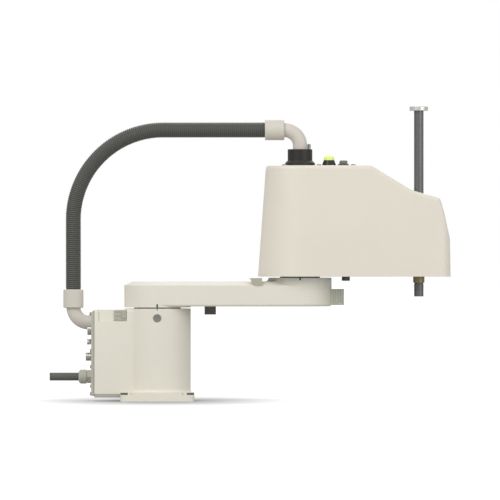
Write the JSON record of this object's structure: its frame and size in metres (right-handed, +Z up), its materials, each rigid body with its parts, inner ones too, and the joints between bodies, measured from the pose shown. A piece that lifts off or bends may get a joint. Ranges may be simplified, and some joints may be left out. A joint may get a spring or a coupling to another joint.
{
  "type": "scara robot",
  "caption": "Bench-mounted scara robot: pedestal with a rear service box, two horizontal arms, a vertical splined quill and an external umbilical hose.",
  "frame": {"origin": "on the first axis, in the plane of the mounting face, at the middle of the bolt pattern", "axes": "+Z up along the first axis, +X along both arms as they are stored, stretched out to the front"},
  "size_m": [0.8433, 0.177, 0.62],
  "materials": {
    "paint": "satin enamel, warm off-white",
    "cover_plastic": "satin, warm off-white",
    "panel_metal": "satin grey",
    "seal_rubber": "matt",
    "steel_screws": "plain zinc",
    "zinc_plate": "zinc plated",
    "motor_black": "satin black",
    "gear_steel": "ground steel",
    "conduit_grey": "satin nylon",
    "collar_grey": "satin nylon",
    "hose_black": "corrugated dark grey nylon",
    "gland_grey": "satin nylon",
    "cable_grey": "matt jacket",
    "connector_metal": "nickel plated",
    "fitting_brass": "nickel plated brass",
    "board_green": "circuit board",
    "battery_plastic": "shrink sleeve",
    "stop_rubber": "matt",
    "stop_metal": "satin",
    "end_block_grey": "satin grey",
    "cast_aluminium": "as cast",
    "fitting_black": "satin black",
    "lamp_yellow": "clear tinted lens",
    "bezel_grey": "satin",
    "button_grey": "satin",
    "belt_rubber": "matt",
    "bush_brass": "turned",
    "pulley_aluminium": "turned, clear anodised",
    "shaft_steel": "ground, hardened",
    "cap_steel": "turned"
  },
  "bodies": {
    "base": {"base_casting": "paint", "rear_panel": "panel_metal", "panel_gasket": "seal_rubber", "panel_screws": "steel_screws", "access_plug": "steel_screws", "tie_plate": "zinc_plate", "base_motor": "motor_black", "base_circular_spline": "gear_steel", "base_bearing_outer": "gear_steel", "base_bearing_rollers": "gear_steel", "lower_conduit_elbow": "conduit_grey", "lower_conduit_collar": "collar_grey", "umbilical_hose": "hose_black", "cable_gland": "gland_grey", "power_cable": "cable_grey", "panel_connectors": "connector_metal", "air_fittings": "fitting_brass", "interface_board": "board_green", "battery_pack": "battery_plastic"},
    "base_wave": {"base_wave_generator": "gear_steel"},
    "inner_arm": {"inner_arm_casting": "paint", "base_flexspline": "gear_steel", "base_bearing_inner": "gear_steel", "base_stop_block": "stop_rubber", "elbow_stop_blocks": "stop_metal", "arm_end_block": "end_block_grey", "elbow_flexspline": "gear_steel", "elbow_bearing_outer": "gear_steel", "elbow_bearing_rollers": "gear_steel"},
    "elbow_wave": {"elbow_wave_generator": "gear_steel"},
    "outer_arm": {"outer_arm_casting": "cast_aluminium", "outer_arm_cover": "cover_plastic", "cover_pillars": "cast_aluminium", "top_screws": "steel_screws", "swivel_fitting": "fitting_black", "lamp_base": "fitting_black", "lamp_lens": "lamp_yellow", "button_bezel": "bezel_grey", "elbow_motor": "motor_black", "elbow_circular_spline": "gear_steel", "elbow_bearing_inner": "gear_steel", "z_motor": "motor_black", "r_motor": "motor_black", "motor_bracket": "cast_aluminium", "z_belt": "belt_rubber", "r_belt": "belt_rubber", "nut_bearings": "gear_steel", "quill_seal_bush": "bush_brass", "elbow_stop_pad": "stop_rubber"},
    "hose_swivel": {"upper_conduit_elbow": "conduit_grey", "upper_conduit_collar": "collar_grey"},
    "tool_nut": {"spline_nut": "gear_steel", "spline_nut_pulley": "pulley_aluminium"},
    "lift_nut": {"ball_nut": "gear_steel", "ball_nut_pulley": "pulley_aluminium"},
    "quill": {"quill_shaft": "shaft_steel", "quill_cap": "cap_steel"},
    "lift_pinion": {"z_motor_pulley": "pulley_aluminium"},
    "tool_pinion": {"r_motor_pulley": "pulley_aluminium"},
    "brake_release": {"brake_button": "button_grey"}
  },
  "joints": [
    {"name": "base_rotation", "type": "hinge", "parent": "base", "child": "inner_arm", "pos_m": [0, 0, 0.1947], "axis": [0, 0, 1], "range_deg": [-140, 140], "deforming": ["umbilical_hose"]},
    {"name": "base_wave_turn", "type": "hinge", "parent": "base", "child": "base_wave", "pos_m": [0, 0, 0.15], "axis": [0, 0, 1], "range_deg": [-14100, 14100]},
    {"name": "elbow_rotation", "type": "hinge", "parent": "inner_arm", "child": "outer_arm", "pos_m": [0.3, 0, 0.2595], "axis": [0, 0, 1], "range_deg": [-135, 135]},
    {"name": "elbow_wave_turn", "type": "hinge", "parent": "outer_arm", "child": "elbow_wave", "pos_m": [0.3, 0, 0.24], "axis": [0, 0, 1], "range_deg": [-6800, 6800]},
    {"name": "conduit_swivel", "type": "hinge", "parent": "outer_arm", "child": "hose_swivel", "pos_m": [0.3, 0, 0.5], "axis": [0, 0, 1], "range_deg": [-136, 136]},
    {"name": "tool_rotation", "type": "hinge", "parent": "outer_arm", "child": "tool_nut", "pos_m": [0.55, 0, 0.3], "axis": [0, 0, 1], "range_deg": [-360, 360]},
    {"name": "quill_travel", "type": "slide", "parent": "tool_nut", "child": "quill", "axis": [0, 0, 1], "range_m": [-0.18, 0]},
    {"name": "ball_nut_turn", "type": "hinge", "parent": "tool_nut", "child": "lift_nut", "pos_m": [0.55, 0, 0.38], "axis": [0, 0, 1], "range_deg": [-4060, 4060]},
    {"name": "lift_pinion_turn", "type": "hinge", "parent": "outer_arm", "child": "lift_pinion", "pos_m": [0.45, 0.031, 0.38], "axis": [0, 0, 1], "range_deg": [-8120, 8120]},
    {"name": "tool_pinion_turn", "type": "hinge", "parent": "outer_arm", "child": "tool_pinion", "pos_m": [0.45, -0.031, 0.31], "axis": [0, 0, 1], "range_deg": [-920, 920]},
    {"name": "brake_button_press", "type": "slide", "parent": "outer_arm", "child": "brake_release", "axis": [0, 0, -1], "range_m": [0, 0.0025], "stiffness_N_per_m": 600}
  ],
  "couplings": [
    {"joint": "base_wave_turn", "follows": "base_rotation", "ratio": -80},
    {"joint": "elbow_wave_turn", "follows": "elbow_rotation", "ratio": 50},
    {"joint": "conduit_swivel", "follows": "elbow_rotation", "ratio": -1},
    {"joint": "ball_nut_turn", "follows": "quill_travel", "rad_per_m": 392.7},
    {"joint": "lift_pinion_turn", "follows": "quill_travel", "rad_per_m": 785.4},
    {"joint": "tool_pinion_turn", "follows": "tool_rotation", "ratio": 2.5455}
  ]
}
